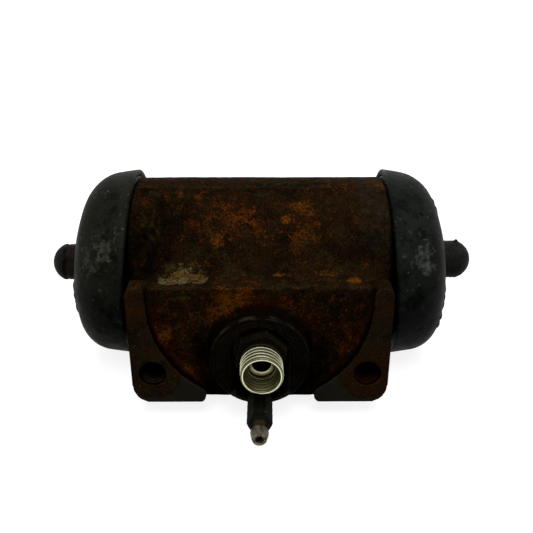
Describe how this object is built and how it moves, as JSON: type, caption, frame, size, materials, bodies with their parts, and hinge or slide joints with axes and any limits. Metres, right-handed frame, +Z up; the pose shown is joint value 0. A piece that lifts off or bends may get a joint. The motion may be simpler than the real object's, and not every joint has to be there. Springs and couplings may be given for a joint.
{
  "type": "wheel cylinder",
  "caption": "Double-acting hydraulic brake wheel cylinder: iron barrel with eared mounting pad, rubber boots, domed push rods, threaded inlet fitting and bleeder screw.",
  "frame": {"origin": "midpoint of the two tapped mounting holes, on the mounting face", "axes": "+X along the bore, -Y out of the mounting face towards the backing plate, +Z up, from the mounting holes towards the bore's axis"},
  "size_m": [0.1904, 0.1342, 0.0832],
  "materials": {
    "rusty_casting": "rough, rusted",
    "boot_rubber": "worn matt",
    "rod_steel": "dark, lightly rusted",
    "piston_metal": "turned",
    "cup_rubber": "smooth",
    "spring_steel": "bright",
    "plated_steel": "yellow zinc, brown near the body",
    "washer_copper": "dull",
    "bleeder_steel": "dull, stained"
  },
  "bodies": {
    "housing": {"cylinder_body": "rusty_casting", "left_boot": "boot_rubber", "right_boot": "boot_rubber", "inlet_fitting": "plated_steel", "fitting_washer": "washer_copper", "cup_spring": "spring_steel"},
    "left_piston_group": {"left_piston": "piston_metal", "left_piston_cup": "cup_rubber", "left_cup_expander": "spring_steel", "left_push_rod": "rod_steel"},
    "right_piston_group": {"right_piston": "piston_metal", "right_piston_cup": "cup_rubber", "right_cup_expander": "spring_steel", "right_push_rod": "rod_steel"},
    "bleeder": {"bleeder_screw": "bleeder_steel"}
  },
  "joints": [
    {"name": "left_piston_slide", "type": "slide", "parent": "housing", "child": "left_piston_group", "axis": [-1, 0, 0], "range_m": [-0.004, 0.008], "deforming": ["cup_spring"]},
    {"name": "right_piston_slide", "type": "slide", "parent": "housing", "child": "right_piston_group", "axis": [1, 0, 0], "range_m": [-0.004, 0.008], "deforming": ["cup_spring"]},
    {"name": "bleeder_turn", "type": "hinge", "parent": "housing", "child": "bleeder", "pos_m": [0, 0, -0.0075], "axis": [0, -1, 0], "range_deg": [0, 270]}
  ]
}
